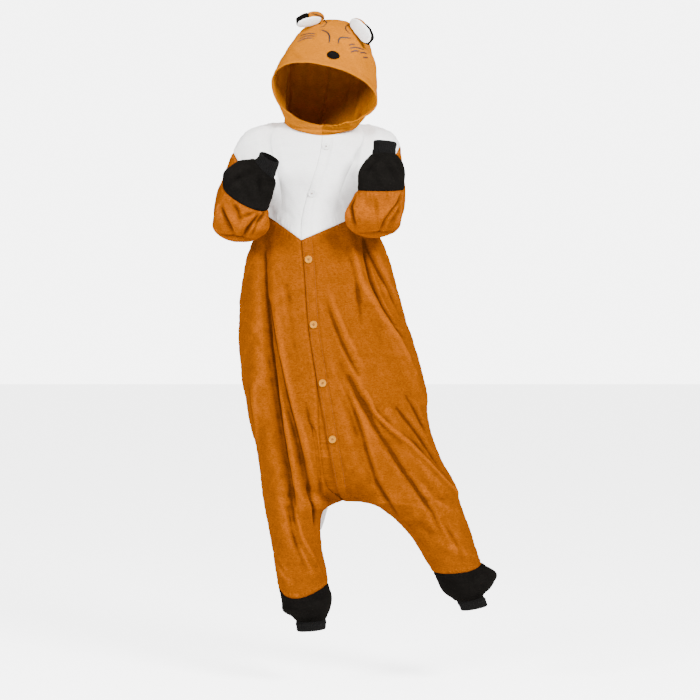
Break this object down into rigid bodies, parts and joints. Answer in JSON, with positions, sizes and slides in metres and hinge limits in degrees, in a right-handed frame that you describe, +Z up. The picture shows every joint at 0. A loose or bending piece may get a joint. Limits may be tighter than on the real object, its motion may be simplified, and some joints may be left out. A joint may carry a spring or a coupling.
{
  "type": "fox onesie",
  "caption": "Worn fox onesie in hollow form: hood with ears and a sleeping fox face, white chest, buttoned placket, orange body, black sleeve and leg ends with rib cuffs, padded tail",
  "frame": {"origin": "base of the neck, in the middle of the shoulders, where the wearer's shoulders hold the garment up", "axes": "+Z up, -Y the front of the garment (hood face and buttons), +X towards the wearer's left side"},
  "size_m": [0.7007, 0.5628, 1.5355],
  "materials": {
    "orange_fleece": "soft short-napped fleece, matt orange",
    "white_fleece": "soft short-napped fleece, matt white",
    "black_fleece": "soft short-napped fleece, matt black",
    "black_rib": "rib-knitted cuff, matt black",
    "yellow_button": "moulded plastic button, satin yellow",
    "white_button": "moulded plastic button, satin white"
  },
  "bodies": {
    "root": {"ankle_cuff_far": "black_rib", "ankle_cuff_near": "black_rib", "back_far": "orange_fleece", "back_near": "orange_fleece", "button_1": "white_button", "button_2": "white_button", "button_3": "yellow_button", "button_4": "yellow_button", "button_5": "yellow_button", "button_6": "yellow_button", "chest_far": "white_fleece", "chest_near": "white_fleece", "ear_far": "orange_fleece", "ear_inner_far": "white_fleece", "ear_inner_near": "white_fleece", "ear_near": "orange_fleece", "ear_tip_far": "black_fleece", "ear_tip_near": "black_fleece", "front_far": "orange_fleece", "front_near": "orange_fleece", "hood_face": "orange_fleece", "hood_far": "orange_fleece", "hood_near": "orange_fleece", "leg_end_far": "black_fleece", "leg_end_near": "black_fleece", "nose": "black_fleece", "placket_body": "orange_fleece", "placket_chest": "white_fleece", "placket_under_body": "orange_fleece", "placket_under_chest": "white_fleece", "sleeve_end_far": "black_fleece", "sleeve_end_near": "black_fleece", "sleeve_far": "orange_fleece", "sleeve_near": "orange_fleece", "tail": "orange_fleece", "tail_tip": "white_fleece", "wrist_cuff_far": "black_rib", "wrist_cuff_near": "black_rib"}
  },
  "joints": []
}
